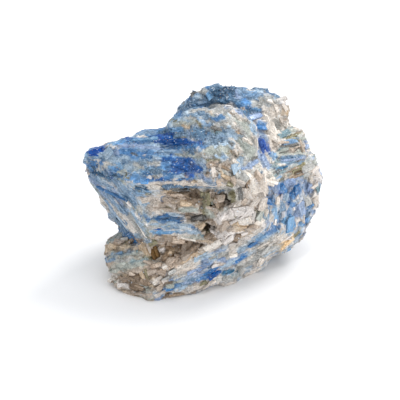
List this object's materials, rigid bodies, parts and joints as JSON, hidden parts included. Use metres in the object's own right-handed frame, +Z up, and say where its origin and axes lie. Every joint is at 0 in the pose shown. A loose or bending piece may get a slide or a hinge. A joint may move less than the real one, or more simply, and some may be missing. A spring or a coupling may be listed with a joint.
{
  "type": "kyanite blade cluster",
  "caption": "Broken hand specimen of blue kyanite blades grown through mica schist, with an overhanging blue plate, for display on a flat surface.",
  "frame": {"origin": "on the resting face, under the middle of the specimen's box", "axes": "+Z up; the show face looks along -Y; the overhanging blue plate points along -X"},
  "size_m": [0.0602, 0.0392, 0.0481],
  "materials": {
    "kyanite_in_schist": "blue glassy blades in pale, pearly mica schist"
  },
  "bodies": {
    "root": {"kyanite_cluster": "kyanite_in_schist"}
  },
  "joints": []
}
